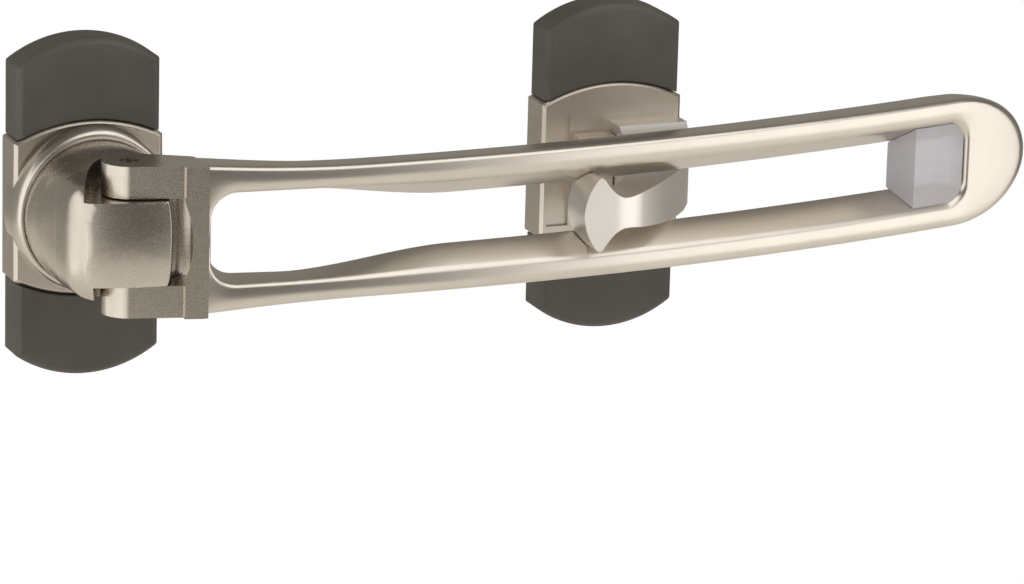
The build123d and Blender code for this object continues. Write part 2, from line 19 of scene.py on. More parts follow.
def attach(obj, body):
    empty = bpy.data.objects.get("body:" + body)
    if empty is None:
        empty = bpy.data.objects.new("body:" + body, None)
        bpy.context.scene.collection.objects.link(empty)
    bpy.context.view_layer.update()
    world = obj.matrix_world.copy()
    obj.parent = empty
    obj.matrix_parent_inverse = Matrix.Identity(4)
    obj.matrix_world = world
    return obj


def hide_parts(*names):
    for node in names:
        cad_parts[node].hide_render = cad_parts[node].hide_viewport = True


MM = 0.001
MERGE_DISTANCE = 2e-6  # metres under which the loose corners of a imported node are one
FLAT_ANGLE = math.radians(0.6)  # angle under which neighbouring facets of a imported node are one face
Colour = tuple[float, float, float]
LOG = logging.getLogger("door_restrictor")
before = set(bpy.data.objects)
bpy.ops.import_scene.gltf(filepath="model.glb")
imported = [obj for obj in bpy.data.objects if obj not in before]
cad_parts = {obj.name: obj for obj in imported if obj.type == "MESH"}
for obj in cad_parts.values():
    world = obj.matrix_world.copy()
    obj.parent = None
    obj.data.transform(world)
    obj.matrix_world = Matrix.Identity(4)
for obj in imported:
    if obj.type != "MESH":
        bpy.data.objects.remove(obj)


class Body(Enum):
    """Moving bodies of the part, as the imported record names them."""

    BASE = "base"
    HUB = "hub"
    ARM = "swing_arm"
    KEEPER = "keeper"


class Slot(Enum):
    """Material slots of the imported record."""

    NICKEL = "satin_nickel"
    DARK_PLASTIC = "dark_plastic"
    CLEAR_PLASTIC = "clear_plastic"
    ZINC = "zinc_steel"


class NodeTree:
    """A material's node tree, with short calls for the nodes that the finishes share."""

    def __init__(self, name: str) -> None:
        """Start an empty tree under a material of this name.

        Args:
            name: Name of the material.
        """
        self.material = bpy.data.materials.new(name)
        self.material.use_nodes = True
        self.tree = self.material.node_tree
        self.tree.nodes.clear()
        self.output = self.add("ShaderNodeOutputMaterial")
        self.place = self.add("ShaderNodeTexCoord").outputs["Object"]

    def add(self, kind: str, **values: object) -> bpy.types.Node:
        """Add a node and set what is given.

        Args:
            kind: Blender's name of the node type.
            values: Node properties, or inputs by name where the node has no such property.

        Returns:
            The new node.
        """
        node = self.tree.nodes.new(kind)
        for key, value in values.items():
            if hasattr(node, key):
                setattr(node, key, value)
            else:
                node.inputs[key.replace("_", " ")].default_value = value
        return node

    def link(self, source: bpy.types.NodeSocket, target: bpy.types.NodeSocket) -> None:
        """Join an output to an input."""
        self.tree.links.new(source, target)

    def noise(self, scale: float, detail: float = 2.0, roughness: float = 0.5,
              stretch: Sequence[float] = (1.0, 1.0, 1.0)) -> bpy.types.NodeSocket:
        """Noise on object coordinates.

        Args:
            scale: Waves per metre.
            detail: Octaves of the noise.
            roughness: Share that each octave keeps.
            stretch: Scale of each axis, below one for grain that runs along it.

        Returns:
            The noise value's socket.
        """
        mapping = self.add("ShaderNodeMapping")
        mapping.inputs["Scale"].default_value = stretch
        self.link(self.place, mapping.inputs["Vector"])
        noise = self.add("ShaderNodeTexNoise", Scale=scale, Detail=detail, Roughness=roughness)
        self.link(mapping.outputs["Vector"], noise.inputs["Vector"])
        return noise.outputs["Fac"]

    def ramp(self, source: bpy.types.NodeSocket, stops: Sequence[tuple[float, Sequence[float]]]) \
            -> bpy.types.NodeSocket:
        """Colour ramp over a value.

        Args:
            source: The value that drives the ramp.
            stops: Places and colours, from low to high.

        Returns:
            The ramp's colour socket.
        """
        ramp = self.add("ShaderNodeValToRGB")
        elements = ramp.color_ramp.elements
        while len(elements) < len(stops):
            elements.new(0.5)
        for element, (place, colour) in zip(elements, stops):
            element.position = place
            element.color = (*colour, 1.0)
        self.link(source, ramp.inputs["Fac"])
        return ramp.outputs["Color"]

    def span(self, source: bpy.types.NodeSocket, low: float, high: float,
             from_low: float = 0.3, from_high: float = 0.7) -> bpy.types.NodeSocket:
        """Value spread between two limits.

        Args:
            source: The value to spread.
            low: Result at from_low.
            high: Result at from_high.
            from_low: Lowest value expected.
            from_high: Highest value expected.

        Returns:
            The result's socket.
        """
        spread = self.add("ShaderNodeMapRange")
        for name, value in (("From Min", from_low), ("From Max", from_high),
                            ("To Min", low), ("To Max", high)):
            spread.inputs[name].default_value = value
        self.link(source, spread.inputs["Value"])
        return spread.outputs["Result"]

    def bump(self, height: bpy.types.NodeSocket, depth: float, strength: float,
             below: bpy.types.NodeSocket | None = None) -> bpy.types.NodeSocket:
        """Bump from a height.

        Args:
            height: Height value from 0 to 1.
            depth: Height of the relief, in metres.
            strength: Share of the relief that shows.
            below: Normal that this relief lies on.

        Returns:
            The bumped normal's socket.
        """
        bump = self.add("ShaderNodeBump", Strength=strength, Distance=depth)
        self.link(height, bump.inputs["Height"])
        if below is not None:
            self.link(below, bump.inputs["Normal"])
        return bump.outputs["Normal"]


@dataclass(frozen=True)
class SatinNickel:
    """Satin nickel plate over a fine casting: warm, with soft grain and shallow pits. Waves are per metre."""

    name: str
    tint: Colour = (0.62, 0.565, 0.50)
    shade: Colour = (0.55, 0.50, 0.44)
    roughness: float = 0.30
    grain: float = 1.0
    mottle_waves: float = 60.0
    pit_waves: float = 700.0
    pit_height: float = 0.00006
    grain_waves: float = 2600.0
    grain_height: float = 0.00003

    def build(self) -> bpy.types.Material:
        """Make the material: two sizes of cast grain in the relief, a slow change of tint and of gloss.

        Returns:
            The finished material.
        """
        nodes = NodeTree(self.name)
        metal = nodes.add("ShaderNodeBsdfPrincipled", Metallic=1.0)
        mottle = nodes.noise(self.mottle_waves, detail=3.0)
        grain = nodes.noise(self.grain_waves, detail=3.0, roughness=0.6)
        pits = nodes.noise(self.pit_waves, detail=2.0)
        nodes.link(nodes.ramp(mottle, ((0.3, self.shade), (0.7, self.tint))), metal.inputs["Base Color"])
        spread = 0.01 + 0.03 * self.grain
        gloss = nodes.span(grain, self.roughness - spread, self.roughness + spread)
        nodes.link(gloss, metal.inputs["Roughness"])
        relief = nodes.bump(pits, self.pit_height, 0.10 * self.grain)
        nodes.link(nodes.bump(grain, self.grain_height, 0.12 * self.grain, relief), metal.inputs["Normal"])
        nodes.link(metal.outputs["BSDF"], nodes.output.inputs["Surface"])
        return nodes.material


@dataclass(frozen=True)
class MouldedPlastic:
    """Matt moulded plastic with a fine spark-eroded texture. Waves are per metre."""

    name: str
    colour: Colour = (0.052, 0.046, 0.040)
    pale: Colour = (0.066, 0.059, 0.051)
    roughness: float = 0.5
    ior: float = 1.48
    mottle_waves: float = 90.0
    texture_waves: float = 3200.0
    texture_height: float = 0.00003

    def build(self) -> bpy.types.Material:
        """Make the material: a fine texture in the relief and a faint change of colour.

        Returns:
            The finished material.
        """
        nodes = NodeTree(self.name)
        plastic = nodes.add("ShaderNodeBsdfPrincipled")
        plastic.inputs["IOR"].default_value = self.ior
        texture = nodes.noise(self.texture_waves, detail=2.0)
        mottle = nodes.noise(self.mottle_waves, detail=2.0)
        nodes.link(nodes.ramp(mottle, ((0.3, self.colour), (0.7, self.pale))), plastic.inputs["Base Color"])
        gloss = nodes.span(texture, self.roughness - 0.05, self.roughness + 0.07)
        nodes.link(gloss, plastic.inputs["Roughness"])
        nodes.link(nodes.bump(texture, self.texture_height, 0.3), plastic.inputs["Normal"])
        nodes.link(plastic.outputs["BSDF"], nodes.output.inputs["Surface"])
        return nodes.material


@dataclass(frozen=True)
class MilkyClear:
    """Translucent soft plastic of the end damper: clear with a faint lilac haze. Waves are per metre."""

    name: str
    colour: Colour = (0.57, 0.55, 0.58)
    haze: Colour = (0.50, 0.48, 0.52)
    roughness: float = 0.34
    ior: float = 1.45
    transmission: float = 0.45
    haze_waves: float = 140.0
    ripple_waves: float = 260.0
    ripple_height: float = 0.00005

    def build(self) -> bpy.types.Material:
        """Make the material: glass with a hazy share of its own and a slow ripple in the surface.

        Returns:
            The finished material.
        """
        nodes = NodeTree(self.name)
        clear = nodes.add("ShaderNodeBsdfPrincipled")
        clear.inputs["IOR"].default_value = self.ior
        clear.inputs["Transmission Weight"].default_value = self.transmission
        haze = nodes.noise(self.haze_waves, detail=2.0)
        nodes.link(nodes.ramp(haze, ((0.3, self.haze), (0.7, self.colour))), clear.inputs["Base Color"])
        nodes.link(nodes.span(haze, self.roughness - 0.05, self.roughness + 0.08), clear.inputs["Roughness"])
        ripple = nodes.bump(nodes.noise(self.ripple_waves), self.ripple_height, 0.1)
        nodes.link(ripple, clear.inputs["Normal"])
        nodes.link(clear.outputs["BSDF"], nodes.output.inputs["Surface"])
        return nodes.material


@dataclass(frozen=True)
class PlatedSteel:
    """Zinc-plated steel of screws, pins and washers, with fine turning marks. Waves are per metre."""

    name: str
    colour: Colour = (0.55, 0.55, 0.56)
    dull: Colour = (0.42, 0.42, 0.43)
    roughness: float = 0.34
    mottle_waves: float = 900.0
    mark_waves: float = 4000.0
    mark_height: float = 0.00002

    def build(self) -> bpy.types.Material:
        """Make the material: mottled plating over fine marks.

        Returns:
            The finished material.
        """
        nodes = NodeTree(self.name)
        metal = nodes.add("ShaderNodeBsdfPrincipled", Metallic=1.0)
        mottle = nodes.noise(self.mottle_waves, detail=3.0)
        marks = nodes.noise(self.mark_waves, detail=2.0, stretch=(1.0, 0.15, 1.0))
        nodes.link(nodes.ramp(mottle, ((0.3, self.dull), (0.7, self.colour))), metal.inputs["Base Color"])
        nodes.link(nodes.span(marks, self.roughness - 0.06, self.roughness + 0.08), metal.inputs["Roughness"])
        nodes.link(nodes.bump(marks, self.mark_height, 0.4), metal.inputs["Normal"])
        nodes.link(metal.outputs["BSDF"], nodes.output.inputs["Surface"])
        return nodes.material


class Finishes:
    """The part's finishes, each made once."""

    def __init__(self) -> None:
        """Make every material."""
        self.cast_nickel = SatinNickel("cast_nickel", roughness=0.27, grain=0.4).build()
        self.smooth_nickel = SatinNickel("smooth_nickel", tint=(0.68, 0.63, 0.57), shade=(0.64, 0.59, 0.53),
                                         roughness=0.30, grain=0.06).build()
        # Paler copy of the satin nickel, used for the hook: its brighter tint is painted highlight, standing
        # in for the soft box's reflection on the hook's face, which is the same nickel as the plates
        self.painted_highlight_nickel = SatinNickel("painted_highlight_nickel", tint=(0.84, 0.80, 0.76), shade=(0.80, 0.76, 0.72),
                                       roughness=0.40, grain=0.15).build()
        self.plate_nickel = SatinNickel("plate_nickel", roughness=0.34, grain=1.6).build()
        self.dark_plastic = MouldedPlastic("dark_plastic").build()
        self.milky_clear = MilkyClear("milky_clear").build()
        self.plated_steel = PlatedSteel("plated_steel").build()
        self.dark_steel = PlatedSteel("dark_steel", colour=(0.10, 0.095, 0.09),
                                      dull=(0.05, 0.05, 0.05)).build()


def mesh_object(name: str, points: np.ndarray, faces: Sequence[Sequence[int]]) -> bpy.types.Object:
    """Make a mesh object from points in millimetres.

    Args:
        name: Name of the object and its mesh.
        points: Array of n by 3, in millimetres.
        faces: Corner numbers of each face.

    Returns:
        The new object, linked to the scene, at the origin.
    """
    mesh = bpy.data.meshes.new(name)
    mesh.from_pydata((points * MM).tolist(), [], [list(map(int, face)) for face in faces])
    mesh.validate()
    mesh.update()
    shape = bpy.data.objects.new(name, mesh)
    bpy.context.scene.collection.objects.link(shape)
    return shape


def grid_faces(rows: int, columns: int, closed_rows: bool, closed_columns: bool) -> np.ndarray:
    """Quads of a grid whose points are numbered row by row.

    Args:
        rows: Number of rows.
        columns: Points in each row.
        closed_rows: Whether the last row joins the first.
        closed_columns: Whether each row closes on itself.

    Returns:
        Array of quads. Each joins a point, its neighbour in the row and the two points of the next row.
    """
    row = np.arange(rows if closed_rows else rows - 1)[:, None]
    column = np.arange(columns if closed_columns else columns - 1)[None, :]
    next_row = (row + 1) % rows
    next_column = (column + 1) % columns
    corners = (row * columns + column, row * columns + next_column,
               next_row * columns + next_column, next_row * columns + column)
    return np.stack(np.broadcast_arrays(*corners), axis=-1).reshape(-1, 4)


def tidy_normals(shape: bpy.types.Object, join: float = 1e-6) -> None:
    """Merge doubles and turn every face outwards.

    Args:
        shape: The closed shape.
        join: Distance in metres under which points merge.
    """
    work = bmesh.new()
    work.from_mesh(shape.data)
    bmesh.ops.remove_doubles(work, verts=work.verts, dist=join)
    bmesh.ops.recalc_face_normals(work, faces=work.faces)
    work.to_mesh(shape.data)
    work.free()


def shade(shape: bpy.types.Object, angle: float = 35.0) -> None:
    """Shade smooth, with sharp edges above an angle in degrees."""
    shape.data.shade_smooth()
    shape.data.set_sharp_from_angle(angle=math.radians(angle))


def soften_edges(shape: bpy.types.Object, width: float, segments: int = 3, angle: float = 28.0) -> None:
    """Round the sharp edges of a shape and settle the result in its mesh.

    Args:
        shape: The shape to round.
        width: Width of the rounding in millimetres.
        segments: Facets across the rounding.
        angle: Angle in degrees above which an edge is rounded.
    """
    bevel = shape.modifiers.new("rounded_edges", "BEVEL")
    bevel.width = width * MM
    bevel.segments = segments
    bevel.limit_method = "ANGLE"
    bevel.angle_limit = math.radians(angle)
    bevel.use_clamp_overlap = True
    weighted = shape.modifiers.new("even_shading", "WEIGHTED_NORMAL")
    weighted.weight = 80
    weighted.keep_sharp = False
    shape.data.shade_smooth()
    settle(shape)


def settle(shape: bpy.types.Object) -> None:
    """Write the result of a shape's modifiers into its mesh and drop them.

    Args:
        shape: The shape with its modifiers.
    """
    bpy.context.view_layer.update()
    evaluated = shape.evaluated_get(bpy.context.evaluated_depsgraph_get())
    mesh = bpy.data.meshes.new_from_object(evaluated)
    mesh.name = shape.name
    shape.modifiers.clear()
    shape.data = mesh


def cut(shape: bpy.types.Object, cutter: bpy.types.Object) -> None:
    """Take a cutter's volume out of a shape and remove the cutter.

    Args:
        shape: The closed shape that is cut.
        cutter: The closed shape that is taken out of it.
    """
    boolean = shape.modifiers.new("cut", "BOOLEAN")
    boolean.operation = "DIFFERENCE"
    boolean.solver = "EXACT"
    boolean.object = cutter
    settle(shape)
    bpy.data.objects.remove(cutter)


def dress(shape: bpy.types.Object, material: bpy.types.Material, body: Body,
          nodes: Sequence[str] = ()) -> bpy.types.Object:
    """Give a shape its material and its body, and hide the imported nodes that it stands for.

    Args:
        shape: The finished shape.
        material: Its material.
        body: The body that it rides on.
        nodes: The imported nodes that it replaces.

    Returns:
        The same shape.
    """
    shape.data.materials.clear()
    shape.data.materials.append(material)
    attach(shape, body.value)
    if nodes:
        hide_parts(*nodes)
    LOG.info("%s: %d faces on %s", shape.name, len(shape.data.polygons), body.value)
    return shape


def paint(node: str, material: bpy.types.Material) -> None:
    """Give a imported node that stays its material.

    Args:
        node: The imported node.
        material: Its material.
    """
    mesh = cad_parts[node].data
    mesh.materials.clear()
    mesh.materials.append(material)
    LOG.info("%s keeps its packed shape", node)


@dataclass(frozen=True)
class Cut:
    """Plane at which a copy ends: what lies on its outward side is left out."""

    place: tuple[float, float, float]
    outward: tuple[float, float, float]


def refined_copy(node: str, name: str, width: float, segments: int = 3, ends: Sequence[Cut] = (),
                 shape_first: Callable[[bpy.types.Mesh], None] | None = None) -> bpy.types.Object:
    """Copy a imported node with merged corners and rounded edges.

    Args:
        node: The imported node.
        name: Name of the copy.
        width: Width of the rounding in millimetres.
        segments: Facets across the rounding.
        ends: Planes at which the copy ends, each closed by a face.
        shape_first: If given, called with the merged mesh before its edges are rounded.

    Returns:
        The copy.
    """
    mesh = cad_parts[node].data.copy()
    mesh.name = name
    shape = bpy.data.objects.new(name, mesh)
    bpy.context.scene.collection.objects.link(shape)
    work = bmesh.new()
    work.from_mesh(mesh)
    bmesh.ops.remove_doubles(work, verts=work.verts, dist=MERGE_DISTANCE)
    for end in ends:
        everything = list(work.verts) + list(work.edges) + list(work.faces)
        cut_result = bmesh.ops.bisect_plane(work, geom=everything, plane_co=Vector(end.place) * MM,
                                            plane_no=end.outward, clear_outer=True)
        open_edges = [part for part in cut_result["geom_cut"] if isinstance(part, bmesh.types.BMEdge)]
        bmesh.ops.edgeloop_fill(work, edges=open_edges)
        bmesh.ops.recalc_face_normals(work, faces=work.faces)
    bmesh.ops.dissolve_limit(work, angle_limit=FLAT_ANGLE, verts=work.verts, edges=work.edges)
    work.to_mesh(mesh)
    work.free()
    if shape_first is not None:
        shape_first(mesh)
    soften_edges(shape, width, segments)
    return shape


def prism(name: str, outline: np.ndarray, low: float, high: float) -> bpy.types.Object:
    """Upright prism over an outline in plan.

    Args:
        name: Name of the prism.
        outline: Corners in order, n by 2, in millimetres.
        low: Height of its foot.
        high: Height of its top.

    Returns:
        The closed prism.
    """
    count = outline.shape[0]
    levels = [np.column_stack((outline, np.full(count, level))) for level in (low, high)]
    sides = grid_faces(2, count, False, True).tolist()
    faces = [*sides, list(range(count)), list(range(count, 2 * count))]
    shape = mesh_object(name, np.concatenate(levels), faces)
    tidy_normals(shape)
    return shape


def quarter(count: int) -> np.ndarray:
    """Angles of a quarter turn, evenly spread, ends included."""
    return np.linspace(0.0, np.pi / 2, count)


@dataclass
class WallUnit:
    """Wall plate with its two moulded caps, for the arm or for the keeper."""

    prefix: str
    plate: str
    body: Body
    casting_edge: float = 0.35
    cap_edge: float = 0.55

    def build(self, finishes: Finishes) -> None:
        """Make the casting and both caps with rounded edges.

        Args:
            finishes: The part's finishes.
        """
        casting = refined_copy(self.plate, self.prefix + "_casting", self.casting_edge)
        dress(casting, finishes.plate_nickel, self.body, [self.plate])
        for place in ("upper", "lower"):
            node = f"{self.prefix}_{place}_cap"
            cap = refined_copy(node, f"{self.prefix}_{place}_cover", self.cap_edge)
            dress(cap, finishes.dark_plastic, self.body, [node])


@dataclass
class Collar:
    """Rounded bead of the collar around the swivelling hub, by radii and by depths in front of the wall."""

    outer: float = 18.0
    inner: float = 16.56
    top: float = 14.0
    bead: float = 3.4
    rise: float = 1.3
    crest_inset: float = 1.0
    inner_drop: float = 1.1
    inner_half_turns: float = 0.44
    gap_drop: float = 1.6
    inner_seat: float = 10.4
    outer_seat: float = 10.2
    seat_inset: float = 0.6
    profile_points: int = 26
    turn_points: int = 144

    def build(self, finishes: Finishes) -> None:
        """Turn the bead's profile about Y.

        The profile runs up the outer flank and over a crest, both on a half ellipse about the bead's middle,
        and ends on the inner side part of the way down, where the hub's gap starts; radius and depth are
        functions of one parameter, turned by the second. The outer flank stands further out in the upper
        half.

        Args:
            finishes: The part's finishes.
        """
        lean = np.linspace(0.0, 1.0, self.profile_points)
        outer_angle = lean * np.pi * 0.5
        inner_angle = lean[1:] * np.pi * self.inner_half_turns
        crest = self.outer - self.crest_inset
        radius = np.concatenate((crest + self.crest_inset * np.cos(outer_angle),
                                 crest - (crest - self.inner) * np.sin(inner_angle),
                                 (self.inner, self.inner, self.outer - self.seat_inset, self.outer)))
        depth = np.concatenate((self.top - self.bead * (1 - np.sin(outer_angle)),
                                self.top - self.inner_drop * (1 - np.cos(inner_angle)),
                                (self.top - self.gap_drop, self.inner_seat,
                                 self.outer_seat, self.outer_seat)))
        turn = np.linspace(0.0, 2 * np.pi, self.turn_points, endpoint=False)[:, None]
        grown = self.rise * np.clip(np.sin(turn), 0.0, 1.0) ** 2
        radius = radius + grown * np.clip((radius - self.inner) / (self.outer - self.inner), 0.0, 1.0)
        points = np.stack((radius * np.cos(turn), np.broadcast_to(-depth, radius.shape),
                           radius * np.sin(turn)), axis=-1)
        bead = mesh_object("collar_bead", points.reshape(-1, 3), grid_faces(*radius.shape, True, True))
        tidy_normals(bead)
        shade(bead, 40.0)
        dress(bead, finishes.smooth_nickel, Body.BASE)


@dataclass
class Hub:
    """Swivelling hub: a round foot that is drawn forwards into the tongue between the arm's ears.

    The head's profile is read at station_depths in front of the wall: its sides, its half-height and the
    powers of its two halves' superellipses. beyond and above are lengths that lie clear of the head. Angles
    are in degrees about the pin.
    """

    pin: tuple[float, float] = (0.8, -33.3)
    pin_bore_radius: float = 2.06
    station_depths: tuple[float, ...] = (14.0, 17.0, 22.0, 25.0, 28.0, 31.5, 32.6, 34.0, 41.3)
    left_sides: tuple[float, ...] = (-16.45, -16.2, -15.4, -15.0, -14.6, -14.2, -14.1, -13.9, -13.4)
    right_sides: tuple[float, ...] = (16.45, 16.5, 16.6, 16.6, 16.5, 16.0, 13.0, 10.6, 7.4)
    half_heights: tuple[float, ...] = (16.45, 16.4, 16.2, 15.9, 15.2, 14.2, 13.9, 13.6, 13.0)
    left_powers: tuple[float, ...] = (2.0, 2.1, 2.3, 2.6, 3.0, 3.6, 3.7, 3.8, 4.2)
    right_powers: tuple[float, ...] = (2.0, 2.1, 2.2, 2.3, 2.6, 6.5, 7.0, 6.0, 4.2)
    foot_front: float = 14.0
    foot_cut: float = 13.9
    edge_depth: float = 40.5
    tongue_half: float = 9.35
    upper_pocket_radius: float = 9.0
    lower_pocket_radius: float = 6.8
    ear_radius: float = 6.4
    ear_back_angle: float = 61.7
    ear_front_angle: float = -104.2
    side_angle: float = 157.0
    swing: float = -100.0
    face_left: tuple[float, float] = (-10.4, 39.3)
    face_slope: float = 0.2025
    crown_middle: float = -2.5
    crown_half: float = 9.0
    crown_across: float = 0.8
    crown_upwards: float = 0.75
    left_round: float = 5.2
    left_share: float = 0.62
    right_round: float = 0.6
    edge_power: float = 1.4
    pocket_edge: float = 0.32
    foot_edge: float = 0.2
    beyond: float = 24.0
    above: float = 22.0
    face_shares: tuple[float, ...] = (0.85, 0.7, 0.5, 0.3, 0.12, 0.0)
    columns: int = 160
    side_rows: int = 50
    edge_rows: int = 9
    bore_points: int = 40
    ear_sides: int = 13
    ray_step: float = 1.5

    def face_depth(self, x: np.ndarray, z: np.ndarray) -> np.ndarray:
        """Depth of the front face: a slanted line in x, crowned by a parabola in x and another in z.

        Args:
            x: Places across the face.
            z: Their heights.

        Returns:
            Their distance in front of the wall.
        """
        crown_x = self.crown_across * (1 - ((x - self.crown_middle) / self.crown_half) ** 2)
        crown_z = self.crown_upwards * (z / self.tongue_half) ** 2
        return self.face_left[1] + (x - self.face_left[0]) * self.face_slope + crown_x - crown_z

    def section(self, depth: np.ndarray) -> tuple[np.ndarray, np.ndarray, np.ndarray]:
        """Outlines of the hub at some depths: a circle at the foot that turns into a rounded block.

        An outline is a superellipse: x = middle + a sgn(cos t) |cos t|^(2/n) and
        z = b sgn(sin t) |sin t|^(2/n), with a, b, n and the middle read from the hub's profile at its depth.

        Args:
            depth: Distances in front of the wall, as a column of rows.

        Returns:
            The outlines' x and z, rows by columns, and their middles.
        """
        left, right, half, left_power, right_power = (
            np.interp(depth, self.station_depths, profile)
            for profile in (self.left_sides, self.right_sides, self.half_heights, self.left_powers,
                            self.right_powers))
        turn = np.linspace(0.0, 2 * np.pi, self.columns, endpoint=False)
        power = np.where(np.cos(turn) > 0, right_power, left_power)
        across = np.sign(np.cos(turn)) * np.abs(np.cos(turn)) ** (2 / power)
        upwards = np.sign(np.sin(turn)) * np.abs(np.sin(turn)) ** (2 / power)
        middle = (left + right) / 2
        return middle + across * (right - left) / 2, upwards * half, middle

    def head(self) -> bpy.types.Object:
        """Loft of the sections from the foot to the front face, closed by the crowned face.

        Rows run from the foot to where the edge's rounding starts, then round the edge on a quarter of a
        superellipse that grows from the right side to the left side, then over the face to its middle, at
        face_shares of the way from there to the edge.

        Returns:
            The closed head before its pockets are cut.
        """
        turn = np.linspace(0.0, 2 * np.pi, self.columns, endpoint=False)
        rounding = self.right_round + (self.left_round - self.right_round) * ((1 - np.cos(turn)) / 2) ** 2
        left_side = np.where(np.cos(turn) < 0, np.cos(turn) ** 2, 0.0)
        side_share = 1 - (1 - self.left_share) * left_side
        foot = np.broadcast_to((0.0, -self.foot_front, 0.0), (1, self.columns, 3))

        share = np.linspace(0.0, 1.0, self.side_rows)[:, None]
        x, z, _ = self.section(self.foot_front + share * (self.edge_depth - self.foot_front))
        depth = self.foot_front + share * (self.face_depth(x, z) - rounding - self.foot_front)
        sides = np.stack((x, -depth, z), axis=-1)

        x, z, middle = self.section(np.array([[self.edge_depth]]))
        angle = quarter(self.edge_rows)[1:, None]
        inset = side_share * (1 - np.cos(angle) ** self.edge_power)
        shrink = 1 - rounding * inset / np.hypot(x - middle, z)
        x = middle + (x - middle) * shrink
        z = z * shrink
        depth = self.face_depth(x, z) - rounding * (1 - np.sin(angle) ** self.edge_power)
        edge = np.stack((x, -depth, z), axis=-1)

        share = np.array(self.face_shares)[:, None]
        x = middle + (x[-1] - middle) * share
        z = z[-1] * share
        face = np.stack((x, -self.face_depth(x, z), z), axis=-1)

        rows = np.concatenate((foot, sides, edge, face))
        faces = grid_faces(rows.shape[0], self.columns, False, True)
        head = mesh_object("hub_head", rows.reshape(-1, 3), faces)
        tidy_normals(head)
        return head

    def pocket_outline(self, pocket_radius: float) -> np.ndarray:
        """Plan of an ear's pocket: the farthest of five shapes along each ray from the pin.

        The shapes are the round pocket, the ear at rest, the ear at the end of its swing, the quarter in
        front to the left up to a straight side, and the open quarter in front to the right. A ray meets a
        straight side at its distance over the cosine to the side's normal.

        Args:
            pocket_radius: Radius of the round pocket, and distance of the straight side from the pin.

        Returns:
            The outline's corners.
        """
        ray = np.radians(np.arange(0.0, 360.0, self.ray_step))
        least_cosine = 1e-3

        def ear(turned: float) -> np.ndarray:
            """Ear whose round end is a row of straight sides, each ray ending at the nearest of them.

            Args:
                turned: Turn of the ear about the pin in degrees.

            Returns:
                Distance of the ear's outline from the pin along each ray, at most to beyond the head.
            """
            round_end = np.linspace(self.ear_back_angle, 360.0 + self.ear_front_angle, self.ear_sides)
            facing = np.cos(ray[:, None] - np.radians(round_end + turned))
            sides = np.where(facing > least_cosine, self.ear_radius / np.maximum(facing, least_cosine),
                             self.beyond)
            return np.minimum(sides.min(axis=1), self.beyond)

        quarter_open = np.where((ray >= 1.5 * np.pi) | (ray == 0.0), self.beyond, 0.0)
        side_facing = np.cos(ray - math.radians(self.side_angle))
        side = np.minimum(pocket_radius / np.maximum(side_facing, least_cosine), self.beyond)
        side = np.where((ray > math.radians(self.side_angle)) & (ray < 1.5 * np.pi), side, 0.0)
        reach = np.maximum.reduce((np.full(ray.size, pocket_radius), ear(0.0), ear(self.swing), side,
                                   quarter_open))
        return np.stack((self.pin[0] + reach * np.cos(ray), self.pin[1] + reach * np.sin(ray)), axis=-1)

    def build(self, finishes: Finishes) -> None:
        """Make the head with its pockets and the pin's bore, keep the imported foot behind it.

        Args:
            finishes: The part's finishes.
        """
        head = self.head()
        ring = np.linspace(0.0, 2 * np.pi, self.bore_points, endpoint=False)
        bore = np.stack((self.pin[0] + self.pin_bore_radius * np.cos(ring),
                         self.pin[1] + self.pin_bore_radius * np.sin(ring)), axis=-1)
        upper = self.pocket_outline(self.upper_pocket_radius)
        lower = self.pocket_outline(self.lower_pocket_radius)
        cut(head, prism("upper_pocket", upper, self.tongue_half, self.above))
        cut(head, prism("lower_pocket", lower, -self.above, -self.tongue_half))
        cut(head, prism("pin_bore", bore, -self.above, self.above))
        soften_edges(head, self.pocket_edge, segments=2, angle=40.0)
        dress(head, finishes.cast_nickel, Body.HUB, ["swivel_hub"])
        front = Cut((0.0, -self.foot_cut, 0.0), (0.0, -1.0, 0.0))
        foot = refined_copy("swivel_hub", "hub_foot", self.foot_edge, ends=(front,))
        dress(foot, finishes.cast_nickel, Body.HUB, ["swivel_hub"])
        for node in ("hub_spring_washer", "hub_retaining_washer", "hub_screw"):
            paint(node, finishes.plated_steel)


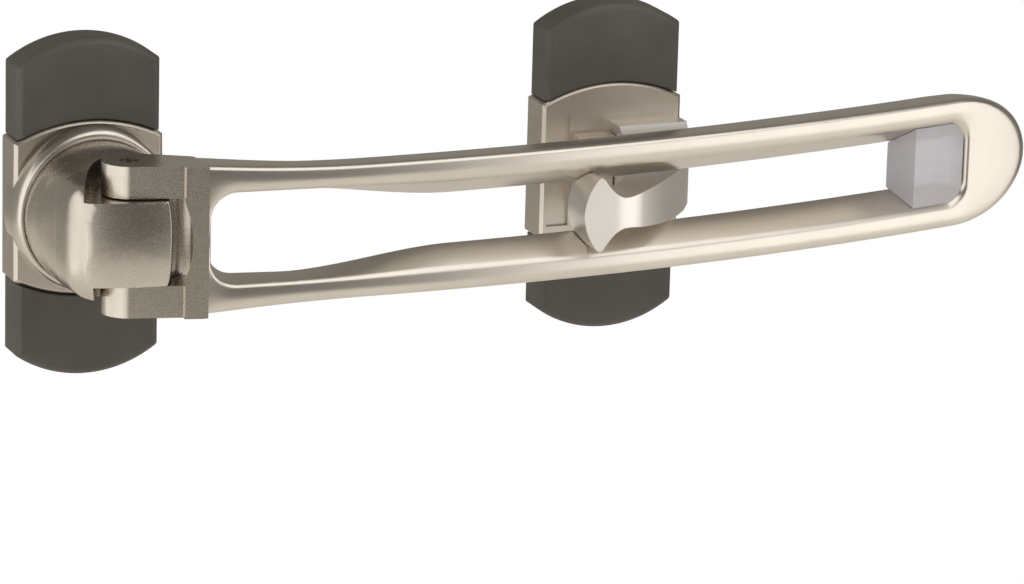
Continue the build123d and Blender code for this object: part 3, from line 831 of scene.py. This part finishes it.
@dataclass
class SwingArm:
    """Bowed arm: a loop around the tapered slot, two ears and a raised rib, with the damper and the pin.

    The loop's thickness is read at thick_places along it.
    """

    bow_radius: float = 541.0
    bow_x: float = 72.0
    bow_depth: float = 45.4
    half_height: float = 15.0
    shoulder_half: float = 16.8
    shoulder_x: float = 13.6
    straight_x: float = 52.0
    reach: float = 223.9
    slot_start: float = 16.4
    slot_end: float = 205.0
    slot_front: float = 10.3
    slot_back_wide: float = 9.3
    slot_back_narrow: float = 5.5
    slot_wide_end: float = 33.0
    slot_narrow_start: float = 73.0
    start_round: float = 6.0
    end_round: float = 4.5
    back_inset: float = 1.0
    back_start_round: float = 5.0
    back_end_round: float = 3.0
    root_end: float = 15.3
    shoulder_run: float = 9.0
    shoulder_drop: float = 0.2
    thick_places: tuple[float, ...] = (15.3, 33.5, 36.0, 70.0, 115.0, 160.0, 198.0, 204.0, 208.0, 213.0,
                                       218.0, 224.0)
    thicknesses: tuple[float, ...] = (8.0, 6.2, 6.02, 6.49, 7.0, 7.4, 7.3, 6.6, 4.9, 3.6, 3.0, 2.8)
    crown: float = 0.16
    inner_round: float = 1.1
    outer_round: float = 1.3
    tip_round: float = 2.0
    back_outer_round: float = 0.5
    back_inner_round: float = 0.4
    tip_length: float = 20.6
    pin: tuple[float, float] = (0.8, -33.3)
    window_half: float = 9.7
    window_radius: float = 13.4
    window_bulge: float = 1.7
    web_outside: float = 17.0
    web_start_angle: float = -28.0
    web_overlap: float = 0.3
    web_gap: float = 0.03
    web_rows: int = 41
    web_arc_points: int = 20
    ear_radius: float = 6.0
    back_angle: float = 61.7
    root_edge: float = 0.35
    web_edge: float = 0.3
    damper_edge: float = 0.5
    rail_points: int = 110
    side_points: int = 12
    corner_points: int = 14
    round_points: int = 7
    crown_points: int = 11

    def on_bow(self, x: np.ndarray, depth: np.ndarray, z: np.ndarray) -> np.ndarray:
        """Carry flat places onto the bow: x is measured along the front arc's chord, depth along its radius.

        Args:
            x: Places along the arm.
            depth: Their depth behind the front arc.
            z: Their heights.

        Returns:
            The points, with x, y and z on the last axis.
        """
        turn = np.arcsin((x - self.bow_x) / self.bow_radius)
        radius = self.bow_radius - depth
        return np.stack((self.bow_x + radius * np.sin(turn),
                         self.bow_radius - self.bow_depth - radius * np.cos(turn), z), axis=-1)

    def thickness(self, x: np.ndarray) -> np.ndarray:
        """Thickness of the arm at x: thin behind the root, growing from there, and drawn in at the tip."""
        return np.interp(x, self.thick_places, self.thicknesses)

    def outer_half(self, x: np.ndarray) -> np.ndarray:
        """Half-height of the arm's outline at x: an arc from the shoulder to the straight rails."""
        share = np.clip((self.straight_x - x) / (self.straight_x - self.shoulder_x), 0, 1)
        return self.half_height + (self.shoulder_half - self.half_height) * share ** 2

    def back_half(self, x: np.ndarray) -> np.ndarray:
        """Half-height of the slot at the back: wide near the hinge, then an S-curve to the narrow run.

        Args:
            x: Places along the arm.

        Returns:
            The half-height at each place.
        """
        share = np.clip((x - self.slot_wide_end) / (self.slot_narrow_start - self.slot_wide_end), 0, 1)
        smooth = share * share * (3 - 2 * share)
        return self.slot_back_wide + (self.slot_back_narrow - self.slot_back_wide) * smooth

    def contours(self) -> tuple[np.ndarray, np.ndarray, np.ndarray, np.ndarray]:
        """Matching places around the loop on the slot's front edge, its back edge and the outer outline.

        The upper half runs from the middle of the slot's left end along the left end, the rail and the tip
        to the middle of the right end: straight, a quarter turn of the corner, straight, a quarter turn,
        straight. The outer outline goes down the shoulder, along the rail and round half of the tip's
        ellipse.

        Returns:
            Front inner, back inner and outer places (n by 2, x and z), and how far round the tip each one is.
        """
        corner = np.linspace(0, 1, self.corner_points)
        side = np.linspace(0, 1, self.side_points, endpoint=False)
        rail = np.linspace(0, 1, self.rail_points)[1:-1]

        def inner(half_at: Callable[[np.ndarray], np.ndarray], start: float, end: float, turn_in: float,
                  turn_out: float, half_start: float, half_end: float) -> np.ndarray:
            """Upper half of one edge of the slot, from the middle of its left end to that of its right end.

            Args:
                half_at: Half-height of the slot as a function of x.
                start: The left end's x.
                end: The right end's x.
                turn_in: Radius of the left corner.
                turn_out: Radius of the right corner.
                half_start: Half-height at the left end.
                half_end: Half-height at the right end.

            Returns:
                The edge's places, n by 2, x and z.
            """
            left = np.stack((np.full(side.size, start), side * (half_start - turn_in)), axis=-1)
            up = np.stack((start + turn_in * (1 - np.cos(corner * np.pi / 2)),
                           half_start - turn_in + turn_in * np.sin(corner * np.pi / 2)), axis=-1)
            run_x = start + turn_in + (end - turn_out - start - turn_in) * rail
            run = np.stack((run_x, half_at(run_x)), axis=-1)
            down = np.stack((end - turn_out + turn_out * np.sin(corner * np.pi / 2),
                             half_end - turn_out + turn_out * np.cos(corner * np.pi / 2)), axis=-1)
            right = np.stack((np.full(side.size, end), (1 - side) * (half_end - turn_out)), axis=-1)[1:]
            return np.concatenate((left, up, run, down, right))

        front = inner(lambda x: np.full_like(x, self.slot_front), self.slot_start, self.slot_end,
                      self.start_round, self.end_round, self.slot_front, self.slot_front)
        back = inner(self.back_half, self.slot_start + self.back_inset, self.slot_end, self.back_start_round,
                     self.back_end_round, self.slot_back_wide, self.slot_back_narrow)
        left = np.stack((np.full(side.size, self.shoulder_x),
                         side * (self.shoulder_half - self.shoulder_drop)), axis=-1)
        up_x = self.shoulder_x + self.shoulder_run * corner ** 1.5
        up = np.stack((up_x, self.outer_half(up_x) - self.shoulder_drop * (1 - corner) ** 2), axis=-1)
        tip_x = self.reach - self.tip_length
        run_x = up_x[-1] + (tip_x - up_x[-1]) * rail
        run = np.stack((run_x, self.outer_half(run_x)), axis=-1)
        round_steps = corner.size + side.size - 1
        turn = np.linspace(0, np.pi / 2, round_steps, endpoint=False)
        tip = np.stack((tip_x + self.tip_length * np.sin(turn), self.half_height * np.cos(turn)), axis=-1)
        outer = np.concatenate((left, up, run, tip))
        roundness = np.concatenate((np.zeros(outer.shape[0] - turn.size), np.sin(turn)))
        return front, back, outer, roundness

    def section(self, width: np.ndarray, thick: np.ndarray, roundness: np.ndarray) \
            -> tuple[np.ndarray, np.ndarray]:
        """Section of the rail: a shallow crown in front, a rounding on each side and small ones behind.

        Args:
            width: Distance from the slot's edge to the outline at each station.
            thick: Thickness at each station.
            roundness: How far round the tip each station is, where the outer rounding grows.

        Returns:
            Share of the way from the slot's edge to the outline, and depth, both stations by section points.
        """
        outer_round = (self.outer_round + self.tip_round * roundness)[:, None]
        arc = quarter(self.round_points)[None, :]
        width = width[:, None]
        thick = thick[:, None]
        every = np.ones_like(width)
        crown_run = np.linspace(0, 1, self.crown_points)[None, 1:-1]
        across = np.concatenate((
            self.inner_round * (1 - np.cos(arc)) * every,
            self.inner_round + (width - self.inner_round - outer_round) * crown_run,
            width - outer_round * (1 - np.sin(arc)),
            width - self.back_outer_round * (1 - np.cos(arc)),
            self.back_inner_round * (1 - np.sin(arc)) * every,
        ), axis=1)
        depth = np.concatenate((
            self.crown + self.inner_round * (1 - np.sin(arc)) * every,
            self.crown * (2 * crown_run - 1) ** 2 * every,
            self.crown + outer_round * (1 - np.cos(arc)),
            thick - self.back_outer_round + self.back_outer_round * np.sin(arc) * every,
            thick - self.back_inner_round * (1 - np.cos(arc)),
        ), axis=1)
        return across / width, depth

    def loop(self) -> bpy.types.Object:
        """Carry the rail's section round the loop and onto the bow.

        Each point lies between the slot's edge, which moves from its front to its back outline with depth,
        and the outer outline; the lower half mirrors the upper one.

        Returns:
            The loop as one closed ring.
        """
        front, back, outer, roundness = self.contours()
        width = np.linalg.norm(outer - front, axis=1)
        thick = self.thickness(outer[:, 0])
        share, depth = self.section(width, thick, roundness)
        sink = (depth / thick[:, None])[:, :, None]
        edge = front[:, None, :] * (1 - sink) + back[:, None, :] * sink
        flat = edge + (outer[:, None, :] - edge) * share[:, :, None]
        mirrored = flat[-1:0:-1] * np.array((1.0, -1.0))
        flat = np.concatenate((flat, mirrored))
        depth = np.concatenate((depth, depth[-1:0:-1]))
        points = self.on_bow(flat[:, :, 0], depth, flat[:, :, 1])
        ring = mesh_object("arm_loop", points.reshape(-1, 3), grid_faces(*depth.shape, True, True))
        tidy_normals(ring)
        shade(ring, 50.0)
        return ring

    def web(self) -> bpy.types.Object:
        """Wall between the ears behind the tongue: a ring segment about the pin, hollowed to a barrel.

        Each row lies at one height. It runs along the inner arc, whose radius is the window's with a parabola
        on it, and back along the outer arc; both end at the plane that closes the root at its back.

        Returns:
            The closed wall.
        """
        half = self.window_half + self.web_overlap
        height = np.linspace(-half, half, self.web_rows)
        bulge = self.window_bulge * np.maximum(0.0, 1 - (height / self.window_half) ** 2)
        inner = self.window_radius + bulge - self.web_gap
        outer = np.full_like(inner, self.web_outside)
        start = math.radians(self.web_start_angle)
        inner_end, outer_end = (math.radians(self.back_angle) - np.arccos(self.ear_radius / reach)
                                for reach in (inner, outer))
        angle = np.concatenate((np.linspace(start, inner_end, self.web_arc_points, axis=-1),
                                np.linspace(outer_end, start, self.web_arc_points, axis=-1)), axis=1)
        radius = np.repeat(np.stack((inner, outer), axis=-1), self.web_arc_points, axis=1)
        points = np.stack((self.pin[0] + radius * np.cos(angle), self.pin[1] + radius * np.sin(angle),
                           np.broadcast_to(height[:, None], angle.shape)), axis=-1)
        row = np.arange(angle.shape[1])
        faces = grid_faces(*angle.shape, False, True).tolist()
        faces += [row.tolist(), (row + angle.size - row.size).tolist()]
        wall = mesh_object("arm_web", points.reshape(-1, 3), faces)
        tidy_normals(wall)
        soften_edges(wall, self.web_edge, segments=2, angle=45.0)
        return wall

    def build(self, finishes: Finishes) -> None:
        """Make the loop, the web and the root of the arm, the damper and the pin.

        Args:
            finishes: The part's finishes.
        """
        back = math.radians(self.back_angle)
        outward = (math.cos(back), math.sin(back), 0.0)
        touch = (self.pin[0] + self.ear_radius * outward[0], self.pin[1] + self.ear_radius * outward[1], 0.0)
        ends = (Cut((self.root_end, 0.0, 0.0), (1.0, 0.0, 0.0)), Cut(touch, outward))
        root = refined_copy("arm", "arm_root", self.root_edge, ends=ends)
        dress(root, finishes.cast_nickel, Body.ARM, ["arm"])
        dress(self.web(), finishes.cast_nickel, Body.ARM, ["arm"])
        dress(self.loop(), finishes.smooth_nickel, Body.ARM, ["arm"])
        damper = refined_copy("end_damper", "damper_block", self.damper_edge)
        dress(damper, finishes.milky_clear, Body.ARM, ["end_damper"])
        paint("hinge_pin", finishes.dark_steel)


@dataclass
class Hook:
    """Hook of the keeper with its crescent head."""

    edge: float = 0.4
    neck_x: float = 111.0
    neck_round: float = 0.4
    neck_spread: float = 1.0
    core_half: float = 1.0

    def round_neck(self, mesh: bpy.types.Mesh) -> None:
        """Round the upright creases where the crescent meets the stem.

        The side outline moves away from the middle by a bell curve in x about the crease. What lies within
        the core at middle height stays.

        Args:
            mesh: Mesh of the hook, changed in place.
        """
        corners = np.empty(3 * len(mesh.vertices), dtype=np.float32)
        mesh.vertices.foreach_get("co", corners)
        places = corners.reshape(-1, 3).astype(float)
        away = (places[:, 0] / MM - self.neck_x) / self.neck_spread
        shift = np.copysign(self.neck_round * np.exp(-away * away) * MM, places[:, 2])
        places[:, 2] += np.where(np.abs(places[:, 2]) > self.core_half * MM, shift, 0.0)
        mesh.vertices.foreach_set("co", places.astype(np.float32).ravel())
        mesh.update()

    def build(self, finishes: Finishes) -> None:
        """Make the hook with rounded edges, and finish its screw.

        Args:
            finishes: The part's finishes.
        """
        hook = refined_copy("keeper_hook", "hook_casting", self.edge, shape_first=self.round_neck)
        # The hook takes the paler nickel, whose brightness is painted highlight
        dress(hook, finishes.painted_highlight_nickel, Body.KEEPER, ["keeper_hook"])
        paint("hook_screw", finishes.plated_steel)


@dataclass(frozen=True)
class Lamp:
    """Soft box: an oblong area lamp that looks at a point, in metres and watts."""

    name: str
    place: tuple[float, float, float]
    target: tuple[float, float, float]
    size: tuple[float, float]
    power: float
    colour: Colour = (1.0, 0.985, 0.96)

    def build(self) -> None:
        """Make the lamp and turn it towards its target."""
        lamp = bpy.data.lights.new(self.name, "AREA")
        lamp.shape = "RECTANGLE"
        lamp.size, lamp.size_y = self.size
        lamp.energy = self.power
        lamp.color = self.colour
        holder = bpy.data.objects.new(self.name, lamp)
        holder.location = self.place
        aim = Vector(self.target) - Vector(self.place)
        holder.rotation_euler = aim.to_track_quat("-Z", "Y").to_euler()
        bpy.context.scene.collection.objects.link(holder)


ARM_MIDDLE = (0.10, -0.03, 0.0)
HUB_FRONT = (0.0, -0.03, 0.0)
SOFT_BOXES = (
    Lamp("right_soft_box", (0.85, -0.68, -0.05), ARM_MIDDLE, (0.93, 1.0), 4.4),
    Lamp("top_soft_box", (0.35, -0.46, 0.67), ARM_MIDDLE, (0.95, 0.7), 3.0),
    Lamp("left_soft_box", (-0.67, -0.35, 0.0), HUB_FRONT, (1.4, 1.0), 5.4),
    Lamp("far_left_soft_box", (-0.68, 0.30, 0.0), HUB_FRONT, (0.24, 1.0), 0.8),
)


@dataclass(frozen=True)
class Studio:
    """Pale floor, white surround, soft boxes and the camera of the photograph.

    The camera's focal length is in pixels, its angles in degrees and its place in millimetres; the floor is
    in metres. What gloss shows grows from glossy_front to glossy_back as its ray points from front_share to
    back_share of the way into the wall.
    """

    focal: float = 5599.67
    sensor: float = 36.0
    image_width: float = 1024.0
    yaw: float = 23.008
    pitch: float = 15.782
    roll: float = 1.5866
    camera_place: tuple[float, float, float] = (-376.735, -1134.047, 317.878)
    floor_height: float = -0.30
    floor_half: float = 0.85
    floor_colour: Colour = (0.8, 0.79, 0.77)
    front_share: float = -0.2
    back_share: float = 0.9
    glossy_front: float = 0.10
    glossy_back: float = 0.29
    light_level: float = 0.62
    light_tone: Colour = (1.0, 0.96, 0.86)

    def camera(self) -> None:
        """Place the camera: yaw about Z, pitch downwards, then roll about the view's axis."""
        yaw, pitch, roll = (math.radians(angle) for angle in (self.yaw, self.pitch, self.roll))
        ahead = Vector((math.sin(yaw) * math.cos(pitch), math.cos(yaw) * math.cos(pitch), -math.sin(pitch)))
        level = Vector((math.cos(yaw), -math.sin(yaw), 0.0))
        up = level.cross(ahead)
        right = math.cos(roll) * level + math.sin(roll) * up
        upright = -math.sin(roll) * level + math.cos(roll) * up
        turn = Matrix((right, upright, -ahead)).transposed()
        lens = bpy.data.cameras.new("photo_camera")
        lens.sensor_width = self.sensor
        lens.lens = self.focal * self.sensor / self.image_width
        lens.clip_start = 0.05
        lens.clip_end = 50.0
        camera = bpy.data.objects.new("photo_camera", lens)
        camera.matrix_world = Matrix.Translation(Vector(self.camera_place) * MM) @ turn.to_4x4()
        bpy.context.scene.collection.objects.link(camera)
        bpy.context.scene.camera = camera

    def surround(self) -> None:
        """White surround for what is seen past the part or through it, a dimmer, warmer one for the rest."""
        world = bpy.data.worlds.new("studio")
        bpy.context.scene.world = world
        world.use_nodes = True
        nodes = world.node_tree.nodes
        links = world.node_tree.links
        nodes.clear()
        path = nodes.new("ShaderNodeLightPath")
        seen = nodes.new("ShaderNodeMath")
        seen.operation = "MAXIMUM"
        links.new(path.outputs["Is Camera Ray"], seen.inputs[0])
        links.new(path.outputs["Is Transmission Ray"], seen.inputs[1])
        place = nodes.new("ShaderNodeTexCoord")
        split = nodes.new("ShaderNodeSeparateXYZ")
        links.new(place.outputs["Generated"], split.inputs[0])
        backdrop = nodes.new("ShaderNodeMapRange")
        for name, value in (("From Min", self.front_share), ("From Max", self.back_share),
                            ("To Min", self.glossy_front), ("To Max", self.glossy_back)):
            backdrop.inputs[name].default_value = value
        links.new(split.outputs["Y"], backdrop.inputs["Value"])
        gloss = nodes.new("ShaderNodeMapRange")
        gloss.inputs["To Min"].default_value = self.light_level
        links.new(backdrop.outputs["Result"], gloss.inputs["To Max"])
        links.new(path.outputs["Is Glossy Ray"], gloss.inputs["Value"])
        level = nodes.new("ShaderNodeMath")
        level.operation = "MAXIMUM"
        links.new(seen.outputs[0], level.inputs[0])
        links.new(gloss.outputs["Result"], level.inputs[1])
        background = nodes.new("ShaderNodeBackground")
        tone = nodes.new("ShaderNodeValToRGB")
        tone.color_ramp.elements[0].color = (*self.light_tone, 1.0)
        tone.color_ramp.elements[1].color = (1.0, 1.0, 1.0, 1.0)
        links.new(seen.outputs[0], tone.inputs["Fac"])
        links.new(tone.outputs["Color"], background.inputs["Color"])
        links.new(level.outputs[0], background.inputs["Strength"])
        output = nodes.new("ShaderNodeOutputWorld")
        links.new(background.outputs["Background"], output.inputs["Surface"])

    def floor(self) -> None:
        """Pale floor well below the part, white where the camera sees it."""
        half = self.floor_half
        points = np.array(((-half, -half, 0), (half, -half, 0), (half, half, 0), (-half, half, 0))) / MM
        points[:, 2] = self.floor_height / MM
        plane = mesh_object("floor", points, ((0, 1, 2, 3),))
        nodes = NodeTree("pale_floor")
        matt = nodes.add("ShaderNodeBsdfDiffuse")
        matt.inputs["Color"].default_value = (*self.floor_colour, 1.0)
        white = nodes.add("ShaderNodeEmission")
        path = nodes.add("ShaderNodeLightPath")
        seen = nodes.add("ShaderNodeMath", operation="MAXIMUM")
        nodes.link(path.outputs["Is Camera Ray"], seen.inputs[0])
        nodes.link(path.outputs["Is Transmission Ray"], seen.inputs[1])
        mix = nodes.add("ShaderNodeMixShader")
        nodes.link(seen.outputs[0], mix.inputs[0])
        nodes.link(matt.outputs[0], mix.inputs[1])
        nodes.link(white.outputs[0], mix.inputs[2])
        nodes.link(mix.outputs[0], nodes.output.inputs["Surface"])
        plane.data.materials.append(nodes.material)

    def build(self) -> None:
        """Set up the camera, the surround, the floor and the soft boxes."""
        self.camera()
        self.surround()
        self.floor()
        for lamp in SOFT_BOXES:
            lamp.build()
        bpy.context.scene.view_settings.view_transform = "Standard"


def main() -> None:
    """Build the part's looks piece by piece, then the studio."""
    logging.basicConfig(level=logging.INFO, format="%(name)s: %(message)s")
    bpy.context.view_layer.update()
    finishes = Finishes()
    WallUnit("base", "base_plate", Body.BASE).build(finishes)
    Collar().build(finishes)
    Hub().build(finishes)
    SwingArm().build(finishes)
    WallUnit("keeper", "keeper_plate", Body.KEEPER).build(finishes)
    Hook().build(finishes)
    Studio().build()


if __name__ == "__main__":
    main()
